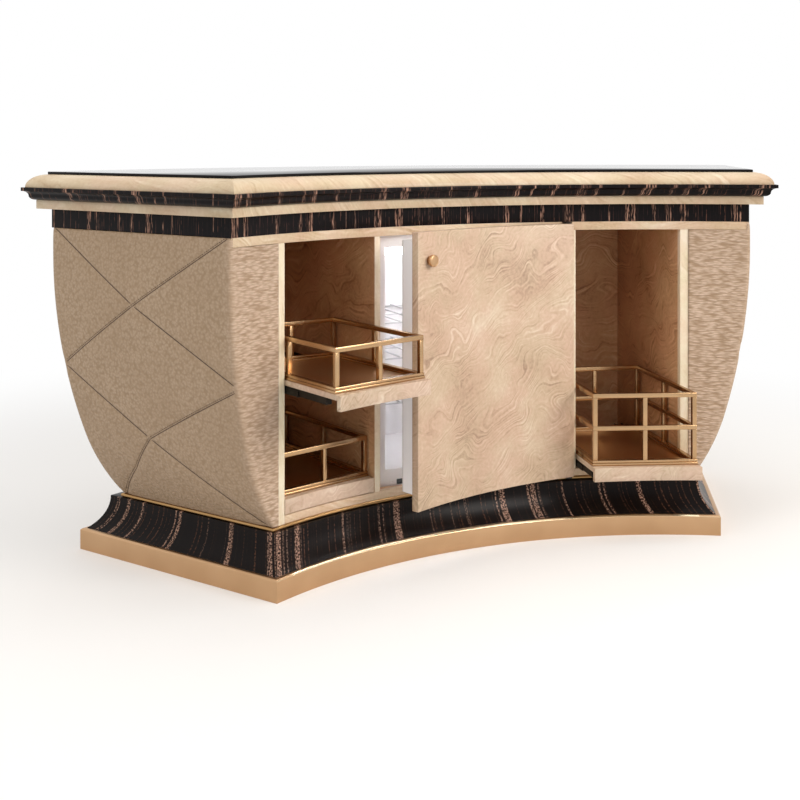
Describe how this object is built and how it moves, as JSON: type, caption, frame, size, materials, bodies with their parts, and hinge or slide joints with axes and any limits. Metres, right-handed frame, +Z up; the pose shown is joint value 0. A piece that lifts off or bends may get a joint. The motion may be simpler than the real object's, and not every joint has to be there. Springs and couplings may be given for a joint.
{
  "type": "home bar counter",
  "caption": "Curved home bar counter with leather sides, ebony and pale wood mouldings, brass skirt, a fridge behind a swinging door and pull-out gallery trays.",
  "frame": {"origin": "on the floor under the middle foot pad, halfway between the barman's and the customer's faces", "axes": "+X along the counter to the barman's right, +Y from the barman to the customer, +Z up"},
  "size_m": [2.5182, 1.148, 1.1],
  "materials": {
    "brass": "satin",
    "ebony": "lacquered streaked veneer",
    "pale_veneer": "satin lacquer",
    "plywood": "plain",
    "leather": "pebbled, matt",
    "dark_glass": "polished",
    "bronze_mirror": "bronze tinted",
    "white_plastic": "gloss",
    "rubber": "matt",
    "black_plastic": "matt",
    "steel": "black zinc plated",
    "coated_wire": "white coated"
  },
  "bodies": {
    "carcass": {"brass_skirt": "brass", "brass_bead": "brass", "plinth_cove": "ebony", "frieze": "ebony", "ogee": "ebony", "fillet": "pale_veneer", "bullnose": "pale_veneer", "left_stile": "pale_veneer", "right_stile": "pale_veneer", "top_rail": "pale_veneer", "bottom_rail": "pale_veneer", "left_partition": "pale_veneer", "right_partition": "pale_veneer", "left_wall": "pale_veneer", "right_wall": "pale_veneer", "back_panels": "pale_veneer", "bottom_board": "pale_veneer", "base_board": "plywood", "top_board": "plywood", "top_deck": "plywood", "left_shell": "plywood", "right_shell": "plywood", "front_shell": "plywood", "left_leather": "leather", "right_leather": "leather", "front_leather": "leather", "glass_top": "dark_glass", "display_window": "dark_glass", "fridge_case": "white_plastic", "fridge_liner": "white_plastic", "fridge_light": "white_plastic", "control_strip": "white_plastic", "foot_pads": "rubber", "mains_inlet": "black_plastic", "hinge_plates": "steel", "runner_fixed_rails": "steel", "wire_shelves": "coated_wire"},
    "door": {"door_panel": "pale_veneer", "door_bushes": "brass", "door_liner": "white_plastic", "door_gasket": "rubber", "door_knob": "brass"},
    "upper_tray": {"upper_tray_board": "pale_veneer", "upper_tray_gallery": "brass", "upper_tray_mirror": "bronze_mirror", "upper_tray_top_rails": "steel"},
    "upper_tray_runners": {"upper_tray_mid_rails": "steel"},
    "lower_tray": {"lower_tray_board": "pale_veneer", "lower_tray_gallery": "brass", "lower_tray_mirror": "bronze_mirror", "lower_tray_top_rails": "steel"},
    "lower_tray_runners": {"lower_tray_mid_rails": "steel"},
    "right_tray": {"right_tray_board": "pale_veneer", "right_tray_gallery": "brass", "right_tray_mirror": "bronze_mirror", "right_tray_top_rails": "steel"},
    "right_tray_runners": {"right_tray_mid_rails": "steel"},
    "power_button": {"power_button": "white_plastic"}
  },
  "joints": [
    {"name": "door_swing", "type": "hinge", "parent": "carcass", "child": "door", "pos_m": [0.29773, -0.36077, 0.552], "axis": [0, 0, 1], "range_deg": [-14.4, 60]},
    {"name": "upper_tray_slide", "type": "slide", "parent": "carcass", "child": "upper_tray", "axis": [0.2253, -0.9743, 0], "range_m": [-0.265, 0.06]},
    {"name": "upper_tray_runner_slide", "type": "slide", "parent": "carcass", "child": "upper_tray_runners", "axis": [0.2253, -0.9743, 0], "range_m": [-0.1325, 0.03]},
    {"name": "lower_tray_slide", "type": "slide", "parent": "carcass", "child": "lower_tray", "axis": [0.2253, -0.9743, 0], "range_m": [0, 0.325]},
    {"name": "lower_tray_runner_slide", "type": "slide", "parent": "carcass", "child": "lower_tray_runners", "axis": [0.2253, -0.9743, 0], "range_m": [0, 0.1625]},
    {"name": "right_tray_slide", "type": "slide", "parent": "carcass", "child": "right_tray", "axis": [-0.2253, -0.9743, 0], "range_m": [-0.17, 0.155]},
    {"name": "right_tray_runner_slide", "type": "slide", "parent": "carcass", "child": "right_tray_runners", "axis": [-0.2253, -0.9743, 0], "range_m": [-0.085, 0.0775]},
    {"name": "power_button_press", "type": "slide", "parent": "carcass", "child": "power_button", "axis": [0, 1, 0], "range_m": [0, 0.0015], "stiffness_N_per_m": 400, "springref_m": -0.001}
  ],
  "couplings": [
    {"joint": "upper_tray_runner_slide", "follows": "upper_tray_slide", "ratio": 0.5},
    {"joint": "lower_tray_runner_slide", "follows": "lower_tray_slide", "ratio": 0.5},
    {"joint": "right_tray_runner_slide", "follows": "right_tray_slide", "ratio": 0.5}
  ]
}
